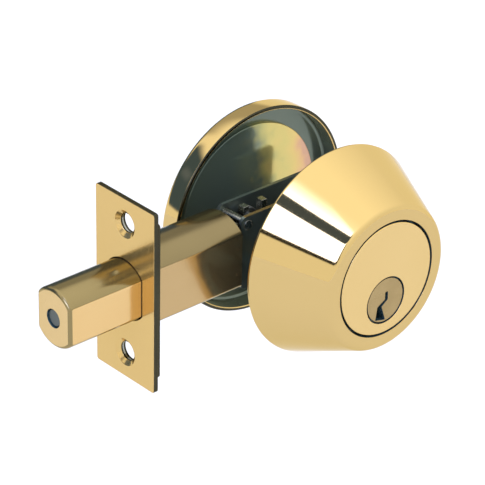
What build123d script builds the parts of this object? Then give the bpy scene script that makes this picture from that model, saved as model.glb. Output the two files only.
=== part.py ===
from build123d import *
import math
import os

# Tubular deadbolt, millimetres. The origin is the middle of the cross bore, on the bolt's centre line.
# -X is the way the bolt is thrown, -Y is the keyed side of the door, +Y its inner side, +Z up.

# Door fittings
backset = 60.3
throw = 25.4
turn_z = -6.9                   # the plug, crank and thumbturn share this axis
screw_x, screw_z = 12.7, -4.0   # the two long screws through the lock
screw_radius = 1.95
front_x = -backset              # outer face of the faceplate

# Faceplate
face_width, face_height, face_thick = 25.4, 57.15, 1.6
face_corner = 0.8
face_hole_z = 20.64
face_hole_radius = 2.9
countersink_radius, countersink_depth = 4.3, 1.0
back_width, back_height, back_thick = 24.2, 49.0, 1.2
plate_back_x = front_x + face_thick + back_thick

# Bolt
bolt_radius, bolt_flat, bolt_length = 9.2, 7.3, 33.0
bolt_tip_x = front_x - throw
bolt_rear_x = bolt_tip_x + bolt_length
bolt_gap = 0.25
roller_radius, roller_bore = 2.7, 2.85
roller_sunk, roller_end_x = 0.5, bolt_tip_x + 19.5
nose_chamfer = 1.2

# Casing
case_radius, case_flat, case_wall = 12.05, 8.76, 1.1
case_end_x = -24.0
rivet_x, rivet_z, rivet_radius = -25.7, 4.0, 0.6

# Tail and crank
crank_reach = throw / math.sqrt(2)
pin_x, pin_z = -throw / 2, turn_z + throw / 2
pin_radius = 1.8
fork_gap = pin_radius + 0.65
fork_wall, fork_floor_z, fork_top_z = 2.0, 3.2, 11.4
tail_half, tail_low_z, tail_high_z = 1.2, -0.6, 6.4
tail_rivet_x, tail_rivet_z, tail_rivet_radius = bolt_rear_x - 4.0, 3.0, 1.5
crank_journal, crank_shoulder = 4.5, 5.5
arm_in, arm_out = 1.5, 3.2

# Hub plates
plate_in, plate_out = 4.4, 5.5
plate_left_x, plate_right_x = -21.8, 19.0
plate_low_z, plate_high_z = -12.3, 11.2
leg_x, leg_half_z = -26.8, 7.0
spacers = [(-17.0, -7.5, 2.0), (16.5, -9.0, 2.0), (-19.6, 8.6, 1.5)]
shank_radius = 0.9

# Tailpiece blade
blade_x, blade_z = 1.0, 3.2
blade_start_y, blade_end_y = -20.0, 24.0

# Cylinder and plug
front_y = -43.0
head_radius, head_end_y = 17.55, -39.5
barrel_radius, barrel_end_y = 16.0, -16.0
plug_radius, plug_head_radius, plug_face_y, plug_head_end_y, plug_end_y = 6.35, 7.1, -42.8, -41.5, -14.2
chamber_radius, pin_stack_radius = 1.45, 1.35
chamber_first_y, chamber_pitch = -37.6, 3.97
chamber_top_z, cover_top_z = 12.6, 13.8
key_pin_lengths = [4.0, 4.8, 3.6, 5.2, 4.4]
driver_low_z, driver_high_z = -0.4, 4.6

# Collar and the guard ring inside it
collar_base_y, collar_front_y = -19.64, -42.98
collar_base_radius, collar_front_radius = 32.6, 22.1

# Rose side
lip_y, rose_back_y = 10.8, 18.0
rose_radius, rose_wall = 32.6, 1.2
shaft_radius = 4.8
turn_half, turn_end_y = 13.5, 35.0


def box(x0, x1, y0, y1, z0, z1):
    return Pos((x0 + x1) / 2, (y0 + y1) / 2, (z0 + z1) / 2) * Box(x1 - x0, y1 - y0, z1 - z0)


def rod_y(radius, y0, y1, x=0.0, z=0.0):
    return Pos(x, (y0 + y1) / 2, z) * Rot(90, 0, 0) * Cylinder(radius, y1 - y0)


def rod_x(radius, x0, x1, y=0.0, z=0.0):
    return Pos((x0 + x1) / 2, y, z) * Rot(0, 90, 0) * Cylinder(radius, x1 - x0)


def rod_z(radius, z0, z1, x=0.0, y=0.0):
    return Pos(x, y, (z0 + z1) / 2) * Cylinder(radius, z1 - z0)


def slab_x(sketch, x0, x1):
    # a sketch drawn in (Y, Z), made solid from x0 to x1
    return extrude(Plane.YZ.offset(x0) * sketch, amount=x1 - x0)


def slab_y(sketch, y0, y1):
    # a sketch drawn in (X, Z), made solid from y0 to y1
    return extrude(Plane.XZ.offset(-y0) * sketch, amount=y0 - y1)


def polygon(*points):
    return make_face(Polyline(*points, close=True))


def turned(points, rounding=()):
    # a closed outline of (radius, y) points turned about Y, with some corners rounded first
    face = polygon(*points)
    for corner, radius in rounding:
        nearest = face.vertices().sort_by_distance(Vector(*points[corner], 0))[0]
        face = fillet(nearest, radius)
    return revolve(face, Axis.Y)


def flatted(radius, flat):
    # a circle with its two sides cut flat at Y = -flat and +flat
    return Circle(radius) & Rectangle(2 * flat, 2 * radius + 1)


def bolt_opening(x0, x1):
    return slab_x(flatted(bolt_radius + bolt_gap, bolt_flat + bolt_gap), x0, x1)


def make_faceplate():
    plate = slab_x(RectangleRounded(face_width, face_height, face_corner), front_x, front_x + face_thick)
    plate -= bolt_opening(front_x - 1, front_x + 3)
    for z in (-face_hole_z, face_hole_z):
        plate -= rod_x(face_hole_radius, front_x - 1, front_x + 3, z=z)
        sink = Cone(countersink_radius, face_hole_radius, countersink_depth)
        plate -= Pos(front_x + countersink_depth / 2, 0, z) * Rot(0, 90, 0) * sink
    return plate


def make_backing_plate():
    x0 = front_x + face_thick
    plate = slab_x(RectangleRounded(back_width, back_height, face_corner), x0, plate_back_x)
    plate -= bolt_opening(x0 - 1, plate_back_x + 1)
    for z in (-face_hole_z, face_hole_z):
        plate -= rod_x(face_hole_radius + 0.2, x0 - 1, plate_back_x + 1, z=z)
    return plate


def rivet_places():
    return [(side, z) for side in (-1, 1) for z in (-rivet_z, rivet_z)]


def make_bolt_casing():
    tube = slab_x(flatted(case_radius, case_flat), plate_back_x, case_end_x)
    tube -= slab_x(flatted(case_radius - case_wall, case_flat - case_wall), plate_back_x - 1, case_end_x + 1)
    for side, z in rivet_places():
        low, high = sorted((side * (case_flat - 2), side * (case_flat + 1)))
        tube -= rod_y(rivet_radius + 0.05, low, high, rivet_x, z)
    return tube


def make_case_rivets():
    # flush with the casing outside, headed on the hub plates' legs inside
    rivets = []
    leg_y = case_flat - 2 * case_wall - 0.02
    for side, z in rivet_places():
        low, high = sorted((side * leg_y, side * case_flat))
        shank = rod_y(rivet_radius, low, high, rivet_x, z)
        low, high = sorted((side * (leg_y - 0.4), side * leg_y))
        rivets.append(shank + rod_y(rivet_radius + 0.35, low, high, rivet_x, z))
    return rivets


def make_guide_pads():
    ring = Circle(case_radius - case_wall - 0.02) - Circle(bolt_radius + 0.12)
    pads = slab_x(ring & Rectangle(13.0, 3 * case_radius), plate_back_x, plate_back_x + 4.3)
    return pads.solids()


def make_hub_plate_outer():
    width, height = plate_right_x - plate_left_x, plate_high_z - plate_low_z
    middle = Pos((plate_left_x + plate_right_x) / 2, (plate_low_z + plate_high_z) / 2)
    plate = slab_y(middle * RectangleRounded(width, height, 2.0), -plate_out, -plate_in)
    leg_y = case_flat - case_wall - 0.02
    thick = plate_out - plate_in
    leg = polygon(
        (leg_x, -leg_y), (-24.4, -leg_y), (plate_left_x, -plate_out), (-19.0, -plate_out),
        (-19.0, -plate_in), (plate_left_x - 0.3, -plate_in), (-24.7, thick - leg_y), (leg_x, thick - leg_y),
    )
    plate += Pos(0, 0, -leg_half_z) * extrude(leg, amount=2 * leg_half_z)
    plate -= rod_y(crank_journal + 0.05, -7, -3, 0, turn_z)
    for x in (-screw_x, screw_x):
        plate -= rod_y(screw_radius + 0.35, -7, -3, x, screw_z)
    for x, z, _ in spacers:
        plate -= rod_y(shank_radius + 0.05, -7, -3, x, z)
    for z in (-rivet_z, rivet_z):
        plate -= rod_y(rivet_radius + 0.05, -9, -5, rivet_x, z)
    return plate


def make_plate_spacers():
    made = []
    for x, z, radius in spacers:
        spacer = rod_y(radius, -plate_in, plate_in, x, z)
        spacer += rod_y(shank_radius, -plate_out, plate_out, x, z)
        for low in (-plate_out - 0.5, plate_out):
            spacer += rod_y(shank_radius + 0.6, low, low + 0.5, x, z)
        made.append(spacer)
    return made


def make_detent_spring():
    # a leaf that stands beside the crank's hub and curls round the lower right spacer
    x, z, radius = spacers[1]
    curl = radius + 0.25
    path = Line((6.1, -3.2), (6.1, z - curl + 1.5))
    path += CenterArc((7.6, z - curl + 1.5), 1.5, 180, 90)
    path += Line((7.6, z - curl), (x, z - curl))
    path += CenterArc((x, z), curl, 270, 180)
    return slab_y(trace(path, line_width=0.4), -1.3, 1.3)


def make_bolt_head():
    head = slab_x(flatted(bolt_radius, bolt_flat), bolt_tip_x, bolt_rear_x)
    head = chamfer(head.faces().sort_by(Axis.X)[0].edges(), nose_chamfer)
    head -= rod_x(roller_bore, bolt_tip_x - 1, roller_end_x + 0.2)
    pocket = tail_half + 0.05
    head -= box(bolt_rear_x - 8.0, bolt_rear_x + 1, -pocket, pocket, tail_low_z - 0.1, tail_high_z + 0.1)
    head -= rod_y(tail_rivet_radius + 0.03, -9, 9, tail_rivet_x, tail_rivet_z)
    return head


def make_roller_pin():
    pin = rod_x(roller_radius, bolt_tip_x + roller_sunk, roller_end_x)
    return chamfer(pin.faces().sort_by(Axis.X)[0].edges(), 0.3)


def make_bolt_tail():
    left, right = pin_x - fork_gap, pin_x + fork_gap
    start = bolt_rear_x - 7.8
    outline = polygon(
        (start, tail_low_z), (right + fork_wall, tail_low_z), (right + fork_wall, fork_top_z),
        (right, fork_top_z), (right, fork_floor_z), (left, fork_floor_z), (left, fork_top_z),
        (left - fork_wall, fork_top_z), (left - fork_wall, tail_high_z), (start, tail_high_z),
    )
    hole = Pos(tail_rivet_x, tail_rivet_z) * Circle(tail_rivet_radius + 0.03)
    return slab_y(outline - hole, -tail_half, tail_half)


def make_tail_rivet():
    return rod_y(tail_rivet_radius, -bolt_flat + 0.05, bolt_flat - 0.05, tail_rivet_x, tail_rivet_z)


def make_crank():
    hub = rod_y(crank_shoulder, -plate_in + 0.2, plate_in - 0.2, 0, turn_z)
    hub += rod_y(crank_journal, -plate_out, plate_out, 0, turn_z)
    arm = Pos(crank_reach, 0) * Circle(3.0)
    arm += polygon((0, -4.6), (crank_reach, -2.9), (crank_reach, 2.9), (0, 4.6))
    arm = Pos(0, turn_z) * Rot(0, 0, 135) * arm
    hub += slab_y(arm, arm_in, arm_out)
    hub += slab_y(arm, -arm_out, -arm_in)
    hub -= rod_y(pin_radius + 0.05, -5, 5, pin_x, pin_z)
    slot_x, slot_z = blade_x + 0.2, blade_z + 0.2
    return hub - box(-slot_x, slot_x, -7, 7, turn_z - slot_z, turn_z + slot_z)


def make_crank_pin():
    pin = rod_y(pin_radius, -arm_out, arm_out, pin_x, pin_z)
    for low in (-arm_out - 0.7, arm_out):
        pin += rod_y(pin_radius + 0.7, low, low + 0.7, pin_x, pin_z)
    return pin


def chamber_places():
    return [chamber_first_y + i * chamber_pitch for i in range(len(key_pin_lengths))]


def make_cylinder_body():
    body = turned([(0, front_y), (head_radius, front_y), (head_radius, head_end_y), (barrel_radius, head_end_y),
                   (barrel_radius, barrel_end_y), (0, barrel_end_y)], [(1, 0.4)])
    body -= rod_y(plug_radius + 0.05, front_y - 1, barrel_end_y + 1, 0, turn_z)
    body -= rod_y(plug_head_radius + 0.1, front_y - 1, plug_head_end_y + 0.1, 0, turn_z)
    for y in chamber_places():
        body -= rod_z(chamber_radius, turn_z + 4.0, chamber_top_z + 1, 0, y)
    body -= box(-2, 2, head_end_y + 0.2, -19.8, chamber_top_z, barrel_radius + 1)
    for x in (-screw_x, screw_x):
        body -= rod_y(screw_radius + 0.05, -34, barrel_end_y + 1, x, screw_z)
    return body


def make_chamber_cover():
    return box(-1.95, 1.95, head_end_y + 0.25, -19.85, chamber_top_z, cover_top_z)


def make_keyway():
    # slot outline in (X, Z) from the plug's middle: narrow above, stepped aside, wide below
    outline = polygon(
        (-0.15, 2.6), (0.95, 2.6), (0.95, -0.1), (-1.35, -1.75), (0.3, -7.4),
        (-4.2, -7.4), (-3.0, -1.3), (-2.3, -0.95), (-0.15, 0.25),
    )
    return outline & Circle(plug_head_radius - 0.55)


def make_key_plug():
    plug = rod_y(plug_head_radius, plug_face_y, plug_head_end_y)
    plug += rod_y(plug_radius, plug_head_end_y, plug_end_y)
    plug -= slab_y(make_keyway(), front_y - 1, blade_start_y - 1)
    for y in chamber_places():
        plug -= rod_z(chamber_radius, 0, plug_radius + 1, 0, y)
    plug -= box(-blade_x - 0.05, blade_x + 0.05, blade_start_y - 0.1, plug_end_y + 1, -blade_z - 0.1, blade_z + 0.1)
    groove = rod_y(plug_radius + 1, -15.6, -14.9) - rod_y(plug_radius - 0.9, -16, -14)
    return Pos(0, 0, turn_z) * (plug - groove)


def make_clip(groove_radius, outer_radius, y0, y1):
    # a retaining ring with a 60 degree mouth below
    ring = Circle(outer_radius) - Circle(groove_radius)
    mouth = polygon((0, 0), (-outer_radius, -2 * outer_radius), (outer_radius, -2 * outer_radius))
    return slab_y(Pos(0, turn_z) * (ring - mouth), y0, y1)


def make_tailpiece():
    return box(-blade_x, blade_x, blade_start_y, blade_end_y, turn_z - blade_z, turn_z + blade_z)


def make_key_pin(index):
    top = turn_z + 6.15
    bottom = top - key_pin_lengths[index]
    pin = rod_z(pin_stack_radius, bottom, top, 0, chamber_places()[index])
    return chamfer(pin.edges().sort_by(Axis.Z)[0], 0.7)


def make_driver_pin(index):
    return rod_z(pin_stack_radius, driver_low_z, driver_high_z, 0, chamber_places()[index])


def make_pin_spring(index):
    y = chamber_places()[index]
    top = chamber_top_z - 0.05
    return rod_z(1.3, driver_high_z, top, 0, y) - rod_z(1.0, driver_high_z - 1, top + 1, 0, y)


def make_collar():
    return turned(
        [(18.0, collar_front_y), (collar_front_radius, collar_front_y), (collar_base_radius, collar_base_y),
         (30.5, collar_base_y), (22.8, -37.4), (16.35, -37.4), (16.35, -39.2), (18.0, -39.2)],
        [(1, 2.2), (2, 0.7)],
    )


def make_guard_insert():
    return turned([(16.3, -36.9), (22.5, -36.9), (29.8, -20.1), (27.8, -20.1), (21.2, -35.3), (16.3, -35.3)])


def make_rose():
    inner_y, inner_radius = rose_back_y - rose_wall, rose_radius - rose_wall
    dish = turned([(0, rose_back_y), (rose_radius, rose_back_y), (rose_radius, lip_y), (inner_radius, lip_y),
                   (inner_radius, inner_y), (0, inner_y)], [(1, 2.2), (4, 1.0)])
    dish -= rod_y(shaft_radius + 0.05, 10, 20, 0, turn_z)
    for x in (-screw_x, screw_x):
        dish -= rod_y(screw_radius + 0.25, 10, 20, x, screw_z)
    return dish


def make_mounting_plate():
    plate = rod_y(25.5, 15.5, rose_back_y - rose_wall - 0.02)
    plate -= rod_y(9.0, 14, 18, 0, turn_z)
    for x in (-screw_x, screw_x):
        plate -= rod_y(screw_radius + 0.25, 14, 18, x, screw_z)
    return plate


def make_mounting_screws():
    screws = []
    for x in (-screw_x, screw_x):
        head = turned([(0, 18.0), (3.7, 18.0), (3.2, 19.5), (0, 19.9)], [(2, 0.5)])
        screw = head + rod_y(screw_radius, -33, 18.2)
        for half_x, half_z in ((0.4, 2.0), (2.0, 0.4)):
            screw -= box(-half_x, half_x, 19.0, 21, -half_z, half_z)
        screws.append(Pos(x, 0, screw_z) * screw)
    return screws


def make_turn_washer():
    return rod_y(8.5, 18.0, 18.3, 0, turn_z) - rod_y(5.0, 17, 19, 0, turn_z)


def make_thumbturn():
    turn = rod_y(shaft_radius, 13.0, 19.0) + rod_y(8.0, 18.4, 19.6)
    neck = revolve(polygon((0, 19.6), (7.0, 19.6), (4.6, 23.0), (4.2, 26.0), (0, 26.0)), Axis.Y)
    wing = Pos(0, 29.0) * RectangleRounded(2 * turn_half, 2 * (turn_end_y - 29.0), 5.5)
    wing = Pos(0, 0, -3.4) * extrude(wing, amount=6.8)
    wing = fillet(wing.faces().filter_by(Axis.Z).edges(), 2.0)
    turn += neck
    turn += wing
    turn -= rod_y(9, 15.85, 16.55) - rod_y(shaft_radius - 0.8, 15, 17)
    slot_x, slot_z = blade_x + 0.15, blade_z + 0.15
    turn -= box(-slot_x, slot_x, 12, blade_end_y + 0.6, -slot_z, slot_z)
    return Pos(0, 0, turn_z) * turn


def save(name, shape):
    # a list of solids is written as one group
    export_step(Compound(shape) if isinstance(shape, list) else shape, f"parts/{name}.step")


def flat_list(shapes):
    return [solid for shape in shapes for solid in shape.solids()]


def main():
    os.makedirs("parts", exist_ok=True)
    save("faceplate", make_faceplate())
    save("backing_plate", make_backing_plate())
    save("bolt_casing", make_bolt_casing())
    save("guide_pads", flat_list([Compound(make_guide_pads())]))
    save("case_rivets", flat_list(make_case_rivets()))
    save("hub_plate_outer", make_hub_plate_outer())
    save("hub_plate_inner", mirror(make_hub_plate_outer(), Plane.XZ))
    save("plate_spacers", flat_list(make_plate_spacers()))
    save("detent_spring", make_detent_spring())
    save("bolt_head", make_bolt_head())
    save("roller_pin", make_roller_pin())
    save("bolt_tail", make_bolt_tail())
    save("tail_rivet", make_tail_rivet())
    save("crank", make_crank())
    save("crank_pin", make_crank_pin())
    save("cylinder_body", make_cylinder_body())
    save("chamber_cover", make_chamber_cover())
    save("key_plug", make_key_plug())
    save("plug_clip", make_clip(plug_radius - 0.85, 8.0, -15.55, -14.95))
    save("tailpiece", make_tailpiece())
    for i in range(len(key_pin_lengths)):
        save(f"key_pin_{i + 1}", make_key_pin(i))
        save(f"driver_pin_{i + 1}", make_driver_pin(i))
        save(f"pin_spring_{i + 1}", make_pin_spring(i))
    save("collar", make_collar())
    save("guard_insert", make_guard_insert())
    save("rose", make_rose())
    save("mounting_plate", make_mounting_plate())
    save("mounting_screws", flat_list(make_mounting_screws()))
    save("turn_washer", make_turn_washer())
    save("thumbturn", make_thumbturn())
    save("turn_clip", make_clip(shaft_radius - 0.75, 7.0, 15.9, 16.5))


main()
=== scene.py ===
import math

import bmesh
import bpy
import numpy as np
from mathutils import Matrix, Vector


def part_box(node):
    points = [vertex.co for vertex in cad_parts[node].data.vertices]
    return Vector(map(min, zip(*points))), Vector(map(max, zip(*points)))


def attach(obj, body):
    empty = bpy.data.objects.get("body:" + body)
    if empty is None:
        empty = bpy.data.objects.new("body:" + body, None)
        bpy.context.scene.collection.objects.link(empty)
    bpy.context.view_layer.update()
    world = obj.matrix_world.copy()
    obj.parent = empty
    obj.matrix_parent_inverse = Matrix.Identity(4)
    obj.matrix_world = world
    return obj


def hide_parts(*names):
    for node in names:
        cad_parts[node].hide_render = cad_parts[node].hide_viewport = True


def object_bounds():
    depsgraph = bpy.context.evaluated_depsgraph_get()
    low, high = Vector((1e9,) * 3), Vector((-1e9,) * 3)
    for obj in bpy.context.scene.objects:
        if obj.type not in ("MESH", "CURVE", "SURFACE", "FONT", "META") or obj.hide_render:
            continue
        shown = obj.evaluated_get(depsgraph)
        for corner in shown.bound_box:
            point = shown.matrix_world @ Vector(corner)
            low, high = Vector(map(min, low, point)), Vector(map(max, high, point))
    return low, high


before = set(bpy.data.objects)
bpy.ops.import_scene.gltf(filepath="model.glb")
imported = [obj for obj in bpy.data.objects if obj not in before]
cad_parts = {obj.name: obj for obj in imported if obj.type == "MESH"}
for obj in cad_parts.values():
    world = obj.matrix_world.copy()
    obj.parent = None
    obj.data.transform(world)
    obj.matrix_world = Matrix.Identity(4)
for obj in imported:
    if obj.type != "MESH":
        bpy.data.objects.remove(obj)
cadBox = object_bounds()
print("frame loaded")

mm = 0.001
turnZ = -6.9 * mm                      # height of the axis that plug, crank and thumbturn share
screwX, screwZ = 12.7 * mm, -4 * mm    # the two long screws
rivetX, rivetZ = -25.7 * mm, 4 * mm    # rivets through the casing's end


def gridFaces(rows, columns, wrapRows=False):
    # quads between neighbouring loops; each loop closes on itself, and the last may join the first
    r = np.arange(rows if wrapRows else rows - 1)[:, None]
    c = np.arange(columns)[None, :]
    nextR, nextC = (r + 1) % rows, (c + 1) % columns
    quads = np.stack([r * columns + c, r * columns + nextC, nextR * columns + nextC, nextR * columns + c], -1)
    return quads.reshape(-1, 4).tolist()


def buildMesh(name, points, faces, sharpAngle=32):
    mesh = bpy.data.meshes.new(name)
    mesh.from_pydata(np.asarray(points, float).reshape(-1, 3).tolist(), [], faces)
    work = bmesh.new()
    work.from_mesh(mesh)
    bmesh.ops.remove_doubles(work, verts=work.verts, dist=1e-7)
    bmesh.ops.recalc_face_normals(work, faces=work.faces)
    work.to_mesh(mesh)
    work.free()
    mesh.shade_smooth()
    mesh.set_sharp_from_angle(angle=math.radians(sharpAngle))
    piece = bpy.data.objects.new(name, mesh)
    bpy.context.scene.collection.objects.link(piece)
    return piece


def loft(name, loops, wrapRows=False, capEnds=False, sharpAngle=32):
    # loops is (count, points, 3): each row is one closed section, joined to the next by quads
    loops = np.asarray(loops, float)
    rows, columns = loops.shape[:2]
    faces = gridFaces(rows, columns, wrapRows)
    if capEnds:
        faces.append(list(range(columns)))
        faces.append(list(range((rows - 1) * columns, rows * columns)))
    return buildMesh(name, loops, faces, sharpAngle)


def roundCorners(corners, radii, steps=7):
    # each corner becomes an arc tangent to its two sides,
    # with its centre at radius / sin(half angle) along the bisector
    corners = np.asarray(corners, float)
    made = []
    for i, radius in enumerate(radii):
        here = corners[i]
        if radius <= 0:
            made.append(here[None])
            continue
        before, after = corners[i - 1] - here, corners[(i + 1) % len(corners)] - here
        before, after = before / np.linalg.norm(before), after / np.linalg.norm(after)
        half = math.acos(np.clip(before @ after, -1, 1)) / 2
        middle = (before + after) / np.linalg.norm(before + after)
        centre = here + middle * radius / math.sin(half)
        start = here + before * radius / math.tan(half) - centre
        end = here + after * radius / math.tan(half) - centre
        sweep = math.atan2(start[0] * end[1] - start[1] * end[0], start @ end)
        turn = np.linspace(0, sweep, steps)[:, None]
        made.append(centre + start * np.cos(turn) + np.array([-start[1], start[0]]) * np.sin(turn))
    return np.concatenate(made)


def turned(name, outline, x=0.0, z=0.0, segments=160, sharpAngle=32):
    # a closed outline of (radius, y) carried round the Y direction: x = radius cos t, z = radius sin t
    outline = np.asarray(outline, float)
    t = np.linspace(0, 2 * math.pi, segments, endpoint=False)
    radius, y = outline[:, 0:1], outline[:, 1:2]
    points = np.stack([x + radius * np.cos(t), y + 0 * t, z + radius * np.sin(t)], -1)
    return loft(name, points, wrapRows=True, sharpAngle=sharpAngle)


def flattedLoop(radius, flat, sharpness=130, count=400):
    # a circle with two flat sides, its radius at angle t being R (1 + |R cos t / flat|^n)^(-1/n)
    t = np.linspace(0, 2 * math.pi, count, endpoint=False)
    r = radius * (1 + np.abs(radius * np.cos(t) / flat) ** sharpness) ** (-1 / sharpness)
    return np.stack([r * np.cos(t), r * np.sin(t)], -1)


def alongX(loop, x):
    return np.concatenate([np.full((len(loop), 1), x), loop], 1)


def boxCutter(x, y, z):
    loop = [(x[0], z[0]), (x[1], z[0]), (x[1], z[1]), (x[0], z[1])]
    return prismCutter(np.array(loop), y)


def prismCutter(outline, y):
    # an (x, z) outline carried from one y to the other
    loops = [np.stack([outline[:, 0], np.full(len(outline), at), outline[:, 1]], -1) for at in y]
    return loft("cutter", loops, capEnds=True)


def rodCutter(radius, y, x, z, segments=64):
    t = np.linspace(0, 2 * math.pi, segments, endpoint=False)
    return prismCutter(np.stack([x + radius * np.cos(t), z + radius * np.sin(t)], -1), y)


def carve(piece, cutters, sharpAngle=32):
    # the cutters are taken out of the piece, and the result becomes its mesh
    for cutter in cutters:
        cut = piece.modifiers.new("cut", "BOOLEAN")
        cut.operation = "DIFFERENCE"
        cut.solver = "EXACT"
        cut.object = cutter
    bpy.context.view_layer.update()
    shaped = bpy.data.meshes.new_from_object(piece.evaluated_get(bpy.context.evaluated_depsgraph_get()))
    piece.modifiers.clear()
    piece.data = shaped
    for cutter in cutters:
        bpy.data.objects.remove(cutter)
    shaped.shade_smooth()
    shaped.set_sharp_from_angle(angle=math.radians(sharpAngle))


def easeEdges(piece, width, segments=2, angle=35):
    bevel = piece.modifiers.new("easedEdges", "BEVEL")
    bevel.width = width
    bevel.segments = segments
    bevel.limit_method = "ANGLE"
    bevel.angle_limit = math.radians(angle)
    bevel.harden_normals = True


def softCopy(node, width=0.12 * mm, segments=2, sharpAngle=35):
    # the CAD piece with its triangles joined, flat faces made whole and its edges eased
    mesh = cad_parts[node].data.copy()
    work = bmesh.new()
    work.from_mesh(mesh)
    bmesh.ops.remove_doubles(work, verts=work.verts, dist=1e-6)
    bmesh.ops.dissolve_limit(work, angle_limit=math.radians(0.5), verts=work.verts, edges=work.edges)
    work.to_mesh(mesh)
    work.free()
    mesh.materials.clear()
    mesh.shade_smooth()
    mesh.set_sharp_from_angle(angle=math.radians(sharpAngle))
    piece = bpy.data.objects.new(node + "Eased", mesh)
    bpy.context.scene.collection.objects.link(piece)
    easeEdges(piece, width, segments, sharpAngle)
    return piece


def finishPiece(piece, finish, body, nodes, zones=()):
    # a zone is a second finish and a test on the faces' centres that says which of them wear it
    mesh = piece.data
    mesh.materials.clear()
    mesh.materials.append(finishes[finish])
    centres = np.empty(len(mesh.polygons) * 3)
    mesh.polygons.foreach_get("center", centres)
    worn = np.zeros(len(mesh.polygons), np.int32)
    for number, (zoneFinish, wears) in enumerate(zones, 1):
        mesh.materials.append(finishes[zoneFinish])
        worn[wears(*centres.reshape(-1, 3).T)] = number
    mesh.polygons.foreach_set("material_index", worn)
    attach(piece, body)
    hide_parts(*nodes)
    return piece


def addNode(tree, kind, inputs=None, **settings):
    node = tree.nodes.new(kind)
    for key, value in settings.items():
        setattr(node, key, value)
    for key, value in (inputs or {}).items():
        if isinstance(value, bpy.types.NodeSocket):
            tree.links.new(value, node.inputs[key])
        else:
            node.inputs[key].default_value = value
    return node


def addGrain(tree, shader, place, look):
    # fine drawn lines in the roughness and the bump
    stretched = addNode(tree, "ShaderNodeMapping", {"Vector": place, "Scale": look["grain"]})
    lines = addNode(tree, "ShaderNodeTexNoise", {
        "Vector": stretched.outputs["Vector"], "Scale": 1.0, "Detail": 4.0, "Roughness": 0.65}).outputs["Fac"]
    rough = addNode(tree, "ShaderNodeMapRange", {"Value": lines, "From Min": 0.3, "From Max": 0.7,
                                                 "To Min": look["rough"][0], "To Max": look["rough"][1]})
    bump = addNode(tree, "ShaderNodeBump", {"Height": lines, "Strength": look["bump"], "Distance": 0.00005})
    tree.links.new(rough.outputs["Result"], shader.inputs["Roughness"])
    tree.links.new(bump.outputs["Normal"], shader.inputs["Normal"])


def makeMetal(name, look):
    # metal whose colour drifts softly between two tones
    material = bpy.data.materials.new(name)
    material.use_nodes = True
    tree = material.node_tree
    shader = tree.nodes["Principled BSDF"]
    place = addNode(tree, "ShaderNodeTexCoord").outputs["Object"]
    drift = addNode(tree, "ShaderNodeTexNoise", {"Vector": place, "Scale": look["drift"], "Detail": 3.0})
    mixed = addNode(tree, "ShaderNodeMix", {"Factor": drift.outputs["Fac"]}, data_type="RGBA")
    mixed.inputs[6].default_value = (*look["colour"], 1)
    mixed.inputs[7].default_value = (*look["tint"], 1)
    tree.links.new(mixed.outputs[2], shader.inputs["Base Color"])
    addGrain(tree, shader, place, look)
    shader.inputs["Metallic"].default_value = look.get("metallic", 1.0)
    shader.inputs["Specular Tint"].default_value = (*look.get("rim", (0.9, 0.82, 0.62)), 1)
    return material


# the film's tone ramp: its two darkest green-grey stops are painted shade and dark reflection inside the
# rose, the yellow to pink stops are the film's own colours
filmAndShade = {"centre": (7.0, 12.0), "across": 0.95, "rise": 0.30, "reach": 26.0, "waver": 0.75, "drift": 100.0,
        "grain": (700, 700, 700), "rough": (0.1, 0.18), "bump": 0.03, "metallic": 0.6,
        "tones": [(0.0, (0.16, 0.215, 0.18)), (0.38, (0.19, 0.24, 0.18)), (0.50, (0.48, 0.46, 0.18)),
                  (0.62, (0.74, 0.62, 0.20)), (0.80, (0.84, 0.62, 0.20)), (0.92, (0.84, 0.52, 0.23)),
                  (1.0, (0.72, 0.42, 0.26))]}


def makeFilmAndShade():
    # an oily film on zinc: its tones follow a slope across the disc, bent by slow noise; the dark green-grey
    # low end of the slope is painted shade and dark reflection from inside the rose, the yellow to pink tones
    # are the film
    material = bpy.data.materials.new("yellowFilmAndShade")
    material.use_nodes = True
    tree = material.node_tree
    shader = tree.nodes["Principled BSDF"]
    place = addNode(tree, "ShaderNodeTexCoord").outputs["Object"]
    parts = addNode(tree, "ShaderNodeSeparateXYZ", {0: place}).outputs
    reach = filmAndShade["reach"] * mm
    across = addNode(tree, "ShaderNodeMath", {0: parts["X"], 1: filmAndShade["across"] / reach,
                                              2: 0.5 - filmAndShade["centre"][0] * mm * filmAndShade["across"] / reach},
                     operation="MULTIPLY_ADD").outputs[0]
    slope = addNode(tree, "ShaderNodeMath", {0: parts["Z"], 1: filmAndShade["rise"] / reach, 2: across},
                    operation="MULTIPLY_ADD").outputs[0]
    level = addNode(tree, "ShaderNodeMath", {
        0: slope, 1: -filmAndShade["centre"][1] * mm * filmAndShade["rise"] / reach}).outputs[0]
    cloud = addNode(tree, "ShaderNodeTexNoise", {
        "Vector": place, "Scale": filmAndShade["drift"], "Detail": 2.0}).outputs["Fac"]
    bent = addNode(tree, "ShaderNodeMath", {0: cloud, 1: filmAndShade["waver"], 2: level},
                   operation="MULTIPLY_ADD").outputs[0]
    value = addNode(tree, "ShaderNodeMath", {0: bent, 1: -filmAndShade["waver"] / 2}).outputs[0]
    ramp = addNode(tree, "ShaderNodeValToRGB", {"Fac": value})
    stops = ramp.color_ramp.elements
    while len(stops) < len(filmAndShade["tones"]):
        stops.new(0.5)
    for stop, (position, tone) in zip(stops, filmAndShade["tones"]):
        stop.position = position
        stop.color = (*tone, 1)
    tree.links.new(ramp.outputs["Color"], shader.inputs["Base Color"])
    addGrain(tree, shader, place, filmAndShade)
    shader.inputs["Metallic"].default_value = filmAndShade["metallic"]
    return material


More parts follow.
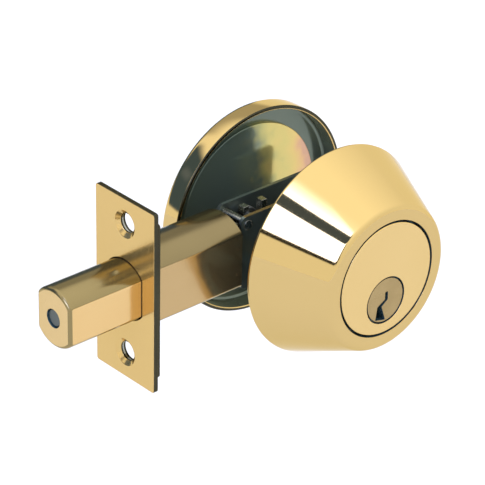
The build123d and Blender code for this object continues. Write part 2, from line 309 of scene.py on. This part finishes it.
fine = (1500.0, 1500.0, 1500.0)
looks = {
    "polishedBrass": {"colour": (0.625, 0.45, 0.175), "tint": (0.65, 0.47, 0.195), "drift": 25, "grain": fine,
                      "rough": (0.045, 0.075), "bump": 0.012},
    "faceBrass": {"colour": (0.72, 0.515, 0.21), "tint": (0.75, 0.545, 0.235), "drift": 45, "grain": fine,
                  "rough": (0.16, 0.24), "bump": 0.03},
    "plugBrass": {"colour": (0.34, 0.245, 0.11), "tint": (0.46, 0.34, 0.16), "drift": 160,
                  "grain": (500, 500, 2600), "rough": (0.26, 0.4), "bump": 0.12},
    "boltBrass": {"colour": (0.72, 0.475, 0.195), "tint": (0.77, 0.535, 0.235), "drift": 45,
                  "grain": (90, 1500, 1500), "rough": (0.14, 0.22), "bump": 0.03, "metallic": 0.85},
    # painted shade: a darker copy of the bolt's brass for its rounded top and bottom, standing in for the
    # dark room they reflect
    "boltRoundShade": {"colour": (0.26, 0.20, 0.085), "tint": (0.31, 0.24, 0.108), "drift": 45,
                  "grain": (90, 1500, 1500), "rough": (0.13, 0.2), "bump": 0.03, "metallic": 0.9},
    "boltNose": {"colour": (0.66, 0.48, 0.22), "tint": (0.72, 0.53, 0.26), "drift": 120,
                 "grain": fine, "rough": (0.26, 0.36), "bump": 0.06},
    "plateBrass": {"colour": (0.645, 0.44, 0.155), "tint": (0.685, 0.48, 0.185), "drift": 45,
                   "grain": (1600, 1600, 200), "rough": (0.12, 0.19), "bump": 0.03, "metallic": 0.85},
    # painted shade: near-black for plate edges and the rose's lip, standing in for the shadow and dark
    # reflection along them
    "edgeShade": {"colour": (0.035, 0.035, 0.025), "tint": (0.07, 0.065, 0.04), "drift": 80, "grain": fine,
                  "rough": (0.2, 0.3), "bump": 0.04},
    "caseSteel": {"colour": (0.50, 0.345, 0.155), "tint": (0.56, 0.395, 0.19), "drift": 60,
                  "grain": (70, 1300, 1300), "rough": (0.12, 0.19), "bump": 0.025, "metallic": 0.9},
    # painted shade: a darker copy of the casing's finish for its rounded top and bottom, standing in for the
    # dark room they reflect
    "caseRoundShade": {"colour": (0.22, 0.17, 0.08), "tint": (0.27, 0.21, 0.10), "drift": 60,
                  "grain": (70, 1300, 1300), "rough": (0.14, 0.22), "bump": 0.025, "metallic": 0.9},
    # painted shade: the hub plates' steel darkened to a green-black, standing in for the shade inside the
    # mechanism
    "hubShadedSteel": {"colour": (0.11, 0.14, 0.12), "tint": (0.16, 0.19, 0.16), "drift": 90,
                 "grain": fine, "rough": (0.16, 0.26), "bump": 0.04, "metallic": 0.7},
    "zincSteel": {"colour": (0.30, 0.31, 0.28), "tint": (0.40, 0.40, 0.35), "drift": 90,
                  "grain": fine, "rough": (0.2, 0.3), "bump": 0.06},
    # painted shade: a near-black blue-green worn inside hollows, bores, the keyway, the collar's groove and
    # the plug's seat, where shade falls
    "innerShade": {"colour": (0.045, 0.10, 0.13), "tint": (0.07, 0.13, 0.155), "drift": 60, "grain": fine,
                   "rough": (0.22, 0.34), "bump": 0.05, "metallic": 0.5},
    # painted shade: a dark green-grey copy of the rose's brass for the inside of its dish, standing in for
    # shade and dark reflection there
    "roseInnerShade": {"colour": (0.13, 0.17, 0.135), "tint": (0.19, 0.22, 0.17), "drift": 50, "grain": fine,
                   "rough": (0.1, 0.18), "bump": 0.03, "metallic": 0.6},
    "darkSteel": {"colour": (0.10, 0.12, 0.12), "tint": (0.15, 0.17, 0.17), "drift": 150, "grain": fine,
                  "rough": (0.3, 0.45), "bump": 0.1},
    "springSteel": {"colour": (0.48, 0.48, 0.48), "tint": (0.55, 0.55, 0.54), "drift": 100, "grain": fine,
                    "rough": (0.2, 0.3), "bump": 0.05},
    "castZinc": {"colour": (0.26, 0.27, 0.26), "tint": (0.34, 0.34, 0.32), "drift": 200,
                 "grain": (900, 900, 900), "rough": (0.4, 0.55), "bump": 0.4},
    "screwBrass": {"colour": (0.72, 0.52, 0.22), "tint": (0.78, 0.58, 0.28), "drift": 200, "grain": fine,
                   "rough": (0.16, 0.26), "bump": 0.05},
    "pinBrass": {"colour": (0.72, 0.54, 0.25), "tint": (0.78, 0.60, 0.30), "drift": 200,
                 "grain": (900, 900, 4000), "rough": (0.25, 0.35), "bump": 0.1},
    "guidePlastic": {"colour": (0.03, 0.03, 0.03), "tint": (0.05, 0.05, 0.05), "drift": 100, "grain": fine,
                     "rough": (0.4, 0.5), "bump": 0.2, "metallic": 0.0},
}
finishes = {name: makeMetal(name, look) for name, look in looks.items()}
finishes["yellowFilmAndShade"] = makeFilmAndShade()
print("materials ready")


collarShape = {"frontY": -42.98 * mm, "baseY": -19.64 * mm, "frontRadius": 22.1 * mm, "baseRadius": 32.6 * mm,
               "recess": 18.0 * mm, "recessY": -39.2 * mm, "webY": -37.4 * mm, "hole": 16.35 * mm,
               "shoulder": 22.8 * mm, "mouth": 30.5 * mm, "frontEdge": 2.2 * mm, "baseEdge": 0.7 * mm,
               "recessEdge": 0.15 * mm, "mouthEdge": 0.2 * mm, "webEdge": 1 * mm, "seatEdge": 0.1 * mm}


def makeCollar():
    # the outline runs over the front and the cone, round the base and back up the inside
    s = collarShape
    corners = [(s["recess"], s["frontY"]), (s["frontRadius"], s["frontY"]), (s["baseRadius"], s["baseY"]),
               (s["mouth"], s["baseY"]), (s["shoulder"], s["webY"]), (s["hole"], s["webY"]),
               (s["hole"], s["recessY"]), (s["recess"], s["recessY"])]
    radii = [s["recessEdge"], s["frontEdge"], s["baseEdge"], s["mouthEdge"], s["webEdge"],
             0, 0, s["seatEdge"]]
    outline = roundCorners(corners, radii, 10)
    slant = (s["mouth"] - s["shoulder"]) / (s["baseY"] - s["webY"])

    # painted shade: the inside behind the cone and the walls of the front recess wear the dark inner finish
    def isInner(x, y, z):
        radius = np.hypot(x, z)
        behindCone = radius < s["shoulder"] + slant * (y - s["webY"]) + 0.1 * mm
        inRecess = (radius < s["recess"] + 0.02 * mm) & (y > s["frontY"] + 0.16 * mm)
        return ((y > s["recessY"] - 0.1 * mm) & behindCone) | inRecess

    collar = turned("taperedCollar", outline, segments=256)
    return finishPiece(collar, "polishedBrass", "collar_ring", ["collar"],
                       [("innerShade", isInner)])


cylinderShape = {"frontY": -43 * mm, "headY": -39.5 * mm, "backY": -16 * mm, "head": 17.35 * mm,
                 "barrel": 16 * mm, "frontEdge": 0.4 * mm, "bore": 6.4 * mm, "seat": 7.35 * mm,
                 "seatY": -41.4 * mm, "seatEdge": 0.15 * mm,
                 "screwHole": 2.0 * mm, "screwY": (-34 * mm, -15 * mm),
                 "slotHalf": 2.0 * mm, "slotY": (-39.3 * mm, -19.8 * mm), "slotZ": (12.6 * mm, 19 * mm)}


def offsetCircles(name, rings, segments=160):
    # circles square to Y, each (radius, y, height of its centre), joined in turn and back to the first
    rings = np.asarray(rings, float)
    t = np.linspace(0, 2 * math.pi, segments, endpoint=False)
    radius, y, height = rings[:, 0:1], rings[:, 1:2], rings[:, 2:3]
    points = np.stack([radius * np.cos(t), y + 0 * t, height + radius * np.sin(t)], -1)
    return loft(name, points, wrapRows=True)


def makeCylinder():
    # circles of (radius, y, height of centre) joined in turn: bore, back, barrel, head, face and plug seat
    s = cylinderShape
    edge, lip = s["frontEdge"], s["seatEdge"]
    turn = np.linspace(0, math.pi / 2, 7)
    rings = [(s["bore"], s["backY"], turnZ), (s["barrel"], s["backY"], 0), (s["barrel"], s["headY"], 0),
             (s["head"], s["headY"], 0)]
    rings += [(s["head"] - edge * (1 - math.cos(a)), s["frontY"] + edge * (1 - math.sin(a)), 0) for a in turn]
    rings += [(s["seat"] + lip * (1 - math.sin(a)), s["frontY"] + lip * (1 - math.cos(a)), turnZ)
              for a in turn]
    rings += [(s["seat"], s["seatY"], turnZ), (s["bore"], s["seatY"], turnZ)]
    body = offsetCircles("cylinderBody", rings, segments=224)
    slot = boxCutter((-s["slotHalf"], s["slotHalf"]), s["slotY"], s["slotZ"])
    screws = [rodCutter(s["screwHole"], s["screwY"], x, screwZ) for x in (-screwX, screwX)]
    carve(body, [slot] + screws)
    # painted shade: everything behind the front face and its rounded edge, the plug's seat among it, wears
    # the dark inner finish
    return finishPiece(body, "faceBrass", "lock_body", ["cylinder_body"],
                       [("innerShade", lambda x, y, z: y > s["frontY"] + edge * 0.95)])


plugShape = {"faceY": -42.8 * mm, "headY": -41.5 * mm, "endY": -14.2 * mm, "head": 6.85 * mm,
             "body": 6.35 * mm, "edge": 0.1 * mm, "endEdge": 0.3 * mm,
             "groove": (5.45 * mm, -15.6 * mm, -14.9 * mm), "slotEnd": -21 * mm,
             "keyway": [(-0.15, 2.6), (0.95, 2.6), (0.95, -0.1), (-1.35, -1.75), (0.25, -6.5), (-3.7, -5.5),
                        (-3.0, -1.3), (-2.3, -0.95), (-0.15, 0.25)],
             "keywayRadii": [0.3, 0.3, 0.2, 0.2, 0.2, 0.2, 0.3, 0.2, 0.2],
             "bladeX": 1.05 * mm, "bladeY": (-20.1 * mm, -13 * mm), "bladeZ": 3.3 * mm}


def keywayOutline():
    # narrow above, stepped to one side, then widening down to the plug's lower edge
    corners = np.array(plugShape["keyway"]) * mm
    radii = np.array(plugShape["keywayRadii"]) * mm
    return roundCorners(corners, radii, 4) + np.array([0, turnZ])


def makePlug():
    s = plugShape
    corners = [(0, s["faceY"]), (s["head"], s["faceY"]), (s["head"], s["headY"]), (s["body"], s["headY"]),
               (s["body"], s["endY"]), (0, s["endY"])]
    outline = roundCorners(corners, [0, s["edge"], 0, 0, s["endEdge"], 0], 6)
    plug = turned("keyPlug", outline, z=turnZ, segments=128)
    depth, y0, y1 = s["groove"]
    groove = turned("groove", [(depth, y0), (8 * mm, y0), (8 * mm, y1), (depth, y1)], z=turnZ, segments=64)
    blade = boxCutter((-s["bladeX"], s["bladeX"]), s["bladeY"], (turnZ - s["bladeZ"], turnZ + s["bladeZ"]))
    carve(plug, [prismCutter(keywayOutline(), (-44 * mm, s["slotEnd"])), groove, blade])
    easeEdges(plug, 0.08 * mm)
    # painted shade: everything behind the plug's face, the keyway walls among it, wears the dark inner finish
    return finishPiece(plug, "plugBrass", "plug_set", ["key_plug"],
                       [("innerShade", lambda x, y, z: y > s["faceY"] + s["edge"])])


boltShape = {"tipX": -85.7 * mm, "rearX": -52.7 * mm, "radius": 9.2 * mm, "flat": 7.3 * mm, "nose": 1.25 * mm,
             "bore": 2.85 * mm, "boreEdge": 0.1 * mm, "boreEnd": -66.0 * mm, "rearEdge": 0.2 * mm,
             "pocket": (8 * mm, 1.25 * mm, -0.7 * mm, 6.5 * mm), "rivet": (1.53 * mm, 4 * mm, 3 * mm)}


def makeBolt():
    # flat-sided sections from the back, over the rounded nose and down the roller's bore
    s = boltShape
    tip, rear = s["tipX"], s["rearX"]
    turn = np.linspace(0, math.pi / 2, 8)
    loops = [alongX(flattedLoop(s["radius"] - s["rearEdge"], s["flat"] - s["rearEdge"]), rear),
             alongX(flattedLoop(s["radius"], s["flat"]), rear - s["rearEdge"])]
    for a in turn:
        inset = s["nose"] * (1 - math.cos(a))
        section = flattedLoop(s["radius"] - inset, s["flat"] - inset)
        loops.append(alongX(section, tip + s["nose"] * (1 - math.sin(a))))
    for a in turn:
        grow = s["boreEdge"] * (1 - math.sin(a))
        section = flattedLoop(s["bore"] + grow, s["radius"])
        loops.append(alongX(section, tip + s["boreEdge"] * (1 - math.cos(a))))
    loops.append(alongX(flattedLoop(s["bore"], s["radius"]), s["boreEnd"]))
    bolt = loft("boltHead", loops, capEnds=True)
    length, half, low, high = s["pocket"]
    radius, inset, height = s["rivet"]
    carve(bolt, [boxCutter((rear - length, rear + mm), (-half, half), (low, high)),
                 rodCutter(radius, (-9 * mm, 9 * mm), rear - inset, height)])
    # painted shade: the rounded top and bottom wear a darker copy of the bolt's brass, and the roller's bore
    # wears the dark inner finish
    return finishPiece(bolt, "boltBrass", "bolt", ["bolt_head"],
                       [("boltRoundShade", lambda x, y, z: np.abs(y) < s["flat"] - 0.05 * mm),
                        ("boltNose", lambda x, y, z: x < tip + 0.05 * mm),
                        ("innerShade", lambda x, y, z: np.hypot(y, z) < s["bore"] + 0.03 * mm)])


casingShape = {"frontX": -57.5 * mm, "rearX": -24.0 * mm, "radius": 12.05 * mm, "flat": 8.76 * mm,
               "wall": 1.1 * mm, "rim": 0.25 * mm, "rivetHole": 0.65 * mm}


def makeCasing():
    # flat-sided tube: outer wall out and inner wall back, with eased rims
    s = casingShape
    stations = [(0, s["frontX"]), (0, s["rearX"] - s["rim"]), (s["rim"], s["rearX"]),
                (s["wall"] - s["rim"], s["rearX"]), (s["wall"], s["rearX"] - s["rim"]),
                (s["wall"], s["frontX"])]
    loops = [alongX(flattedLoop(s["radius"] - inset, s["flat"] - inset), x) for inset, x in stations]
    casing = loft("boltCasing", loops, wrapRows=True)
    carve(casing, [rodCutter(s["rivetHole"], (side * 5 * mm, side * 10 * mm), rivetX, z)
                   for side in (-1, 1) for z in (-rivetZ, rivetZ)])

    # painted shade: the rounded top and bottom wear a darker copy of the casing's finish, and the inside
    # wears the dark inner finish
    def isInside(x, y, z):
        inner = s["radius"] - s["wall"] + 0.1 * mm
        return (np.hypot(y, z) < inner) & (np.abs(y) < s["flat"] - s["wall"] + 0.1 * mm)

    return finishPiece(casing, "caseSteel", "lock_body", ["bolt_casing"],
                       [("caseRoundShade", lambda x, y, z: np.abs(y) < s["flat"] - 0.05 * mm),
                        ("innerShade", isInside)])


def makeEdgePlate(name, s, node, finish):
    # rounded rectangle with the bolt's opening and two screw holes, countersunk where sink is wider than hole
    w, h = s["width"] / 2, s["height"] / 2
    outline = roundCorners([(-w, -h), (w, -h), (w, h), (-w, h)], [s["corner"]] * 4, 6)
    x0, x1 = s["frontX"], s["frontX"] + s["thick"]
    plate = loft(name, [alongX(outline, x0), alongX(outline, x1)], capEnds=True)
    opening = flattedLoop(s["openRadius"], s["openFlat"])
    cutters = [loft("opening", [alongX(opening, x0 - mm), alongX(opening, x1 + mm)], capEnds=True)]
    hole, sink, depth = s["hole"], s["sink"], s["sinkDepth"]
    stations = [(sink + (sink - hole) / depth * 0.5 * mm, x0 - 0.5 * mm), (hole, x0 + depth), (hole, x1 + mm)]
    t = np.linspace(0, 2 * math.pi, 96, endpoint=False)
    for z in (-s["holeZ"], s["holeZ"]):
        rings = [np.stack([np.full(96, x), r * np.cos(t), z + r * np.sin(t)], -1) for r, x in stations]
        cutters.append(loft("hole", rings, capEnds=True))
    carve(plate, cutters)
    easeEdges(plate, s["edge"])

    # painted shade: the plate's sides, back and the walls of its opening and holes wear near-black; only the
    # front face and the countersinks keep the plate's finish
    def isEdge(x, y, z):
        inSink = (np.hypot(y, np.abs(z) - s["holeZ"]) < sink + 0.1 * mm) & (x < x0 + depth - 0.02 * mm)
        return (x > x0 + 0.01 * mm) & ~inSink

    return finishPiece(plate, finish, "lock_body", [node], [("edgeShade", isEdge)])


facePlateShape = {"frontX": -60.3 * mm, "thick": 1.6 * mm, "width": 25.4 * mm, "height": 57.15 * mm,
                  "corner": 0.8 * mm, "openRadius": 9.45 * mm, "openFlat": 7.55 * mm, "holeZ": 20.64 * mm,
                  "hole": 2.9 * mm, "sink": 4.3 * mm, "sinkDepth": 1.0 * mm, "edge": 0.18 * mm}
backPlateShape = {"frontX": -58.7 * mm, "thick": 1.2 * mm, "width": 24.2 * mm, "height": 49 * mm,
                  "corner": 0.8 * mm, "openRadius": 9.45 * mm, "openFlat": 7.55 * mm, "holeZ": 20.64 * mm,
                  "hole": 3.1 * mm, "sink": 3.1 * mm, "sinkDepth": 0.5 * mm, "edge": 0.12 * mm}

roseShape = {"lipY": 10.8 * mm, "backY": 18.0 * mm, "radius": 32.6 * mm, "wall": 1.2 * mm, "edge": 2.2 * mm,
             "lipOuter": 0.45 * mm, "lipInner": 0.35 * mm, "screwHole": 2.2 * mm, "turnHole": 4.85 * mm}


def makeRose():
    s = roseShape
    inner = s["radius"] - s["wall"]
    floorY = s["backY"] - s["wall"]
    corners = [(0, s["backY"]), (s["radius"], s["backY"]), (s["radius"], s["lipY"]), (inner, s["lipY"]),
               (inner, floorY), (0, floorY)]
    outline = roundCorners(corners, [0, s["edge"], s["lipOuter"], s["lipInner"], 1.0 * mm, 0], 10)
    rose = turned("roseDish", outline, segments=256)
    holes = [rodCutter(s["screwHole"], (10 * mm, 20 * mm), x, screwZ) for x in (-screwX, screwX)]
    carve(rose, holes + [rodCutter(s["turnHole"], (10 * mm, 20 * mm), 0, turnZ)])

    # painted shade: the dish's inside wears a dark green-grey copy of its brass, and the rim of the lip wears
    # near-black
    def isInside(x, y, z):
        return (y > s["lipY"] + s["lipInner"]) & (y < floorY + 0.5 * mm) & (np.hypot(x, z) < inner + 0.1 * mm)

    def isLip(x, y, z):
        return (y < s["lipY"] + 0.4 * mm) & (np.hypot(x, z) > inner + 0.3 * mm)

    return finishPiece(rose, "polishedBrass", "lock_body", ["rose"],
                       [("roseInnerShade", isInside), ("edgeShade", isLip)])


mountShape = {"frontY": 15.5 * mm, "backY": 16.78 * mm, "radius": 25.5 * mm, "screwHole": 2.2 * mm,
              "middleHole": 9 * mm, "edge": 0.1 * mm}


def makeMountingPlate():
    s = mountShape
    corners = [(0, s["frontY"]), (s["radius"], s["frontY"]), (s["radius"], s["backY"]), (0, s["backY"])]
    plate = turned("mountingPlate", roundCorners(corners, [0, 0.3 * mm, 0, 0], 5), segments=160)
    holes = [rodCutter(s["screwHole"], (14 * mm, 18 * mm), x, screwZ) for x in (-screwX, screwX)]
    carve(plate, holes + [rodCutter(s["middleHole"], (14 * mm, 18 * mm), 0, turnZ)])
    easeEdges(plate, s["edge"])
    return finishPiece(plate, "yellowFilmAndShade", "lock_body", ["mounting_plate"])


makeCollar()
makeCylinder()
makePlug()
makeBolt()
makeCasing()
makeEdgePlate("facePlate", facePlateShape, "faceplate", "plateBrass")
makeEdgePlate("backingPlate", backPlateShape, "backing_plate", "zincSteel")
makeRose()
makeMountingPlate()
print("turned and lofted pieces made")

# pieces that keep the frame's shape with eased edges: body, finish, slot
eased = {
    "thumbturn": ("turn_set", "polishedBrass", "polished_brass"),
    "hub_plate_inner": ("lock_body", "hubShadedSteel", "case_steel"),
    # the inner hub plate wears the painted-shade steel
    "plate_spacers": ("lock_body", "zincSteel", "zinc_steel"),
    "case_rivets": ("lock_body", "caseSteel", "zinc_steel"),
    "bolt_tail": ("bolt", "zincSteel", "zinc_steel"),
    "crank": ("crank_set", "castZinc", "cast_zinc"),
    "crank_pin": ("crank_set", "zincSteel", "zinc_steel"),
    "mounting_screws": ("lock_body", "screwBrass", "screw_brass"),
    "tailpiece": ("plug_set", "zincSteel", "zinc_steel"),
}
for node, (body, finish, slotName) in eased.items():
    finishPiece(softCopy(node), finish, body, [node])
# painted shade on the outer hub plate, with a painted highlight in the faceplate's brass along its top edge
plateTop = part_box("hub_plate_outer")[1][2]
finishPiece(softCopy("hub_plate_outer"), "hubShadedSteel", "lock_body", ["hub_plate_outer"],
            [("plateBrass", lambda x, y, z: z > plateTop - 0.1 * mm)])

# pieces that stay as the frame has them
# the guard insert wears the dark painted-shade finish of the hollows
kept = {
    "roller_pin": "darkSteel", "chamber_cover": "faceBrass", "guard_insert": "innerShade",
    "tail_rivet": "zincSteel", "detent_spring": "springSteel", "turn_washer": "springSteel",
    "plug_clip": "springSteel", "turn_clip": "springSteel", "guide_pads": "guidePlastic",
}
for i in range(1, 6):
    kept.update({f"key_pin_{i}": "pinBrass", f"driver_pin_{i}": "pinBrass", f"pin_spring_{i}": "springSteel"})
for node, finish in kept.items():
    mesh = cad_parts[node].data
    mesh.materials.clear()
    mesh.materials.append(finishes[finish])
print("lock pieces made")


viewpoint = {"azimuth": -42.03, "elevation": 29.10, "roll": 1.146, "distance": 0.830, "lens": 210.9,
             "sensor": 36, "across": -0.01226, "up": -0.00575}


def makeCamera():
    # back points from the lock to the camera; right and over span the picture, turned by the roll
    v = viewpoint
    a, e, roll = (math.radians(v[key]) for key in ("azimuth", "elevation", "roll"))
    back = Vector((math.sin(a) * math.cos(e), -math.cos(a) * math.cos(e), math.sin(e)))
    right = Vector((math.cos(a), math.sin(a), 0))
    over = back.cross(right)
    c, s = math.cos(roll), math.sin(roll)
    right, over = c * right + s * over, c * over - s * right
    lens = bpy.data.cameras.new("camera")
    lens.lens = v["lens"]
    lens.sensor_width = v["sensor"]
    camera = bpy.data.objects.new("camera", lens)
    turn = Matrix((right, over, back)).transposed().to_4x4()
    place = back * v["distance"] + right * v["across"] + over * v["up"]
    camera.matrix_world = Matrix.Translation(place) @ turn
    bpy.context.scene.collection.objects.link(camera)
    bpy.context.scene.camera = camera


floorShape = {"drop": 0.12, "front": -6.0, "back": 0.62, "glow": 0.05, "paper": (0.82, 0.815, 0.80),
              "rough": 0.9, "specular": 0.2}


def makeFloor():
    low = cadBox[0][2] - floorShape["drop"]
    near, far = floorShape["front"], floorShape["back"]
    corners = [(near, near, low), (far, near, low), (far, far, low), (near, far, low)]
    floor = buildMesh("floor", corners, [[0, 1, 2, 3]])
    paint = bpy.data.materials.new("palePaper")
    paint.use_nodes = True
    shader = paint.node_tree.nodes["Principled BSDF"]
    shader.inputs["Base Color"].default_value = (*floorShape["paper"], 1)
    shader.inputs["Roughness"].default_value = floorShape["rough"]
    shader.inputs["Specular IOR Level"].default_value = floorShape["specular"]
    shader.inputs["Emission Color"].default_value = (1, 1, 1, 1)
    shader.inputs["Emission Strength"].default_value = floorShape["glow"]
    floor.data.materials.append(paint)


# each card of the studio stands at a bearing from +X, in degrees, and spans a width and two heights
studio = {
    "skyLow": 1.2, "skyHigh": 1.6, "skyFrom": 22, "skyTo": 75,
    "cards": {
        "midScreen": {"bearing": 62, "halfWidth": 34, "heights": (20, 47),
                      "soft": (6, 4, 6), "level": (0.6, 0.6, 0.6)},
        "backScreen": {"bearing": 103, "halfWidth": 53, "heights": (-3, 20),
                       "soft": (2, 2, 5), "level": (0.08, 0.14, 0.28)},
        "lowScreen": {"bearing": 71, "halfWidth": 21, "heights": (-20, 0),
                      "soft": (2, 2, 4), "level": (0.06, 0.16, 0.34)},
        "tallScreen": {"bearing": 126, "halfWidth": 17, "heights": (-3, 42),
                       "soft": (4, 2, 4), "level": (0.08, 0.14, 0.28)},
        "palePatch": {"bearing": 132, "halfWidth": 5, "heights": (21, 28),
                      "soft": (3, 3, 3), "level": (0.15, 0.22, 0.42)},
        "windowGlow": {"bearing": -165, "halfWidth": 42, "heights": (58, 72),
                       "soft": (14, 2, 12), "level": (1.9, 1.95, 2.2)},
        "window": {"bearing": -165, "halfWidth": 17, "heights": (24.5, 70),
                   "soft": (3, 0.3, 13), "level": (3.7, 4.3, 7.5)},
        "windowBar": {"bearing": -165, "halfWidth": 30, "heights": (50, 61.5),
                      "soft": (4, 0.3, 0.3), "level": (0.09, 0.13, 0.24)},
        "windowSill": {"bearing": -165, "halfWidth": 34, "heights": (20.5, 24.5),
                       "soft": (4, 0.6, 0.3), "level": (0.03, 0.03, 0.03)},
        "windowPost": {"bearing": -142, "halfWidth": 6, "heights": (18, 46),
                       "soft": (1, 3, 3), "level": (0.03, 0.03, 0.03)},
    },
}


def addCard(tree, direction, height, below, card):
    # the card shows where the turn from its bearing and the height both lie inside its edges
    bearing = math.radians(card["bearing"])
    faced = addNode(tree, "ShaderNodeVectorRotate", {"Vector": direction, "Angle": -bearing},
                    rotation_type="Z_AXIS")
    parts = addNode(tree, "ShaderNodeSeparateXYZ", {0: faced.outputs[0]}).outputs
    turn = addNode(tree, "ShaderNodeMath", {0: parts["Y"], 1: parts["X"]}, operation="ARCTAN2").outputs[0]
    aside = addNode(tree, "ShaderNodeMath", {0: turn}, operation="ABSOLUTE").outputs[0]
    side, low, high = (math.radians(angle) for angle in card["soft"])
    wide = math.radians(card["halfWidth"])
    bottom, top = (math.radians(angle) for angle in card["heights"])
    shown = 1.0
    for value, start, end in ((aside, wide + side, wide - side), (height, bottom - low, bottom + low),
                              (height, top + high, top - high)):
        edge = addNode(tree, "ShaderNodeMapRange", {"Value": value, "From Min": start, "From Max": end},
                       interpolation_type="SMOOTHSTEP").outputs[0]
        shown = addNode(tree, "ShaderNodeMath", {0: edge, 1: shown}, operation="MULTIPLY").outputs[0]
    mixed = addNode(tree, "ShaderNodeMix", {"Factor": shown}, data_type="RGBA")
    tree.links.new(below, mixed.inputs[6])
    mixed.inputs[7].default_value = (*card["level"], 1)
    return mixed.outputs[2]


def makeStudio():
    # a pale sky that brightens upwards, dark screens behind the lock and a barred window to its left
    world = bpy.data.worlds.new("studio")
    bpy.context.scene.world = world
    world.use_nodes = True
    tree = world.node_tree
    direction = addNode(tree, "ShaderNodeTexCoord").outputs["Generated"]
    up = addNode(tree, "ShaderNodeSeparateXYZ", {0: direction}).outputs["Z"]
    height = addNode(tree, "ShaderNodeMath", {0: up}, operation="ARCSINE").outputs[0]
    skyFrom, skyTo = math.radians(studio["skyFrom"]), math.radians(studio["skyTo"])
    brightness = addNode(tree, "ShaderNodeMapRange", {
        "Value": height, "From Min": skyFrom, "From Max": skyTo,
        "To Min": studio["skyLow"], "To Max": studio["skyHigh"]}).outputs[0]
    grey = {axis: brightness for axis in "XYZ"}
    colour = addNode(tree, "ShaderNodeCombineXYZ", grey).outputs[0]
    for card in studio["cards"].values():
        colour = addCard(tree, direction, height, colour, card)
    seen = addNode(tree, "ShaderNodeLightPath").outputs["Is Camera Ray"]
    plain = addNode(tree, "ShaderNodeMix", {"Factor": seen}, data_type="RGBA")
    tree.links.new(colour, plain.inputs[6])
    plain.inputs[7].default_value = (1, 1, 1, 1)
    tree.links.new(plain.outputs[2], tree.nodes["Background"].inputs["Color"])
    bpy.context.scene.view_settings.view_transform = "Standard"


makeCamera()
makeFloor()
makeStudio()
print("camera, floor and light set")

bpy.context.view_layer.update()
